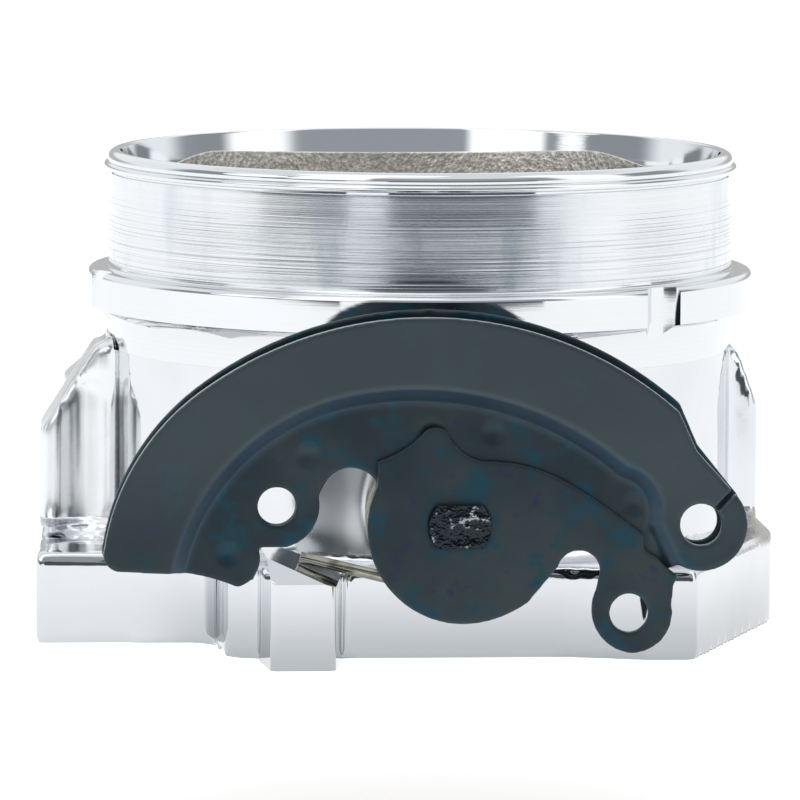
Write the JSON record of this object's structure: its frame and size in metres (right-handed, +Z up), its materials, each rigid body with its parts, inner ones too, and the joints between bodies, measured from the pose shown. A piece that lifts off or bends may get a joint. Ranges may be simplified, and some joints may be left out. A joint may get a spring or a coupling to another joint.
{
  "type": "throttle body",
  "caption": "Cable throttle body with a round air neck, bolted manifold flange, butterfly blade on a sprung shaft, stamped cable cam, position sensor and idle air valve.",
  "frame": {"origin": "centre of the air bore on the manifold face", "axes": "+Z up the air bore towards the inlet neck, -Y towards the cable cam, shaft along Y"},
  "size_m": [0.1213, 0.155, 0.0763],
  "materials": {
    "polished_casting": "mirror polished",
    "cam_steel": "dark heat-blued stamped steel",
    "shaft_steel": "ground steel",
    "blade_brass": "machined",
    "spring_steel": "oiled spring wire",
    "zinc_steel": "bright zinc plated",
    "black_steel": "black oxide",
    "bearing_steel": "hardened",
    "seal_rubber": "moulded",
    "sleeve_nylon": "natural nylon",
    "sensor_plastic": "glass-filled, moulded",
    "rotor_plastic": "moulded",
    "valve_metal": "yellow passivated can",
    "terminal_metal": "tin plated"
  },
  "bodies": {
    "housing": {"throttle_housing": "polished_casting", "shaft_bearing_cam_side": "bearing_steel", "shaft_bearing_sensor_side": "bearing_steel", "shaft_seal_cam_side": "seal_rubber", "shaft_seal_sensor_side": "seal_rubber", "spring_sleeve": "sleeve_nylon", "return_spring": "spring_steel", "idle_stop_screw": "black_steel", "idle_stop_lock_nut": "zinc_steel", "position_sensor_housing": "sensor_plastic", "position_sensor_cover": "sensor_plastic", "position_sensor_seal": "seal_rubber", "position_sensor_terminals": "terminal_metal", "position_sensor_screws": "zinc_steel", "idle_valve_body": "valve_metal", "idle_valve_seal": "seal_rubber", "idle_valve_terminals": "terminal_metal", "idle_valve_screws": "zinc_steel", "bypass_plug": "zinc_steel"},
    "throttle": {"throttle_shaft": "shaft_steel", "throttle_blade": "blade_brass", "blade_screws": "zinc_steel", "cam_front_plate": "cam_steel", "cam_rear_plate": "cam_steel", "cam_hub_plate": "cam_steel", "position_sensor_rotor": "rotor_plastic"},
    "idle_pintle": {"idle_valve_pintle": "zinc_steel"}
  },
  "joints": [
    {"name": "throttle_shaft_turn", "type": "hinge", "parent": "housing", "child": "throttle", "pos_m": [0, 0, 0.024], "axis": [0, -1, 0], "range_deg": [0, 78], "stiffness_Nm_per_rad": 0.25, "springref_deg": -40.11, "deforming": ["return_spring"]},
    {"name": "idle_pintle_slide", "type": "slide", "parent": "housing", "child": "idle_pintle", "axis": [0, -1, 0], "range_m": [0, 0.008]}
  ]
}
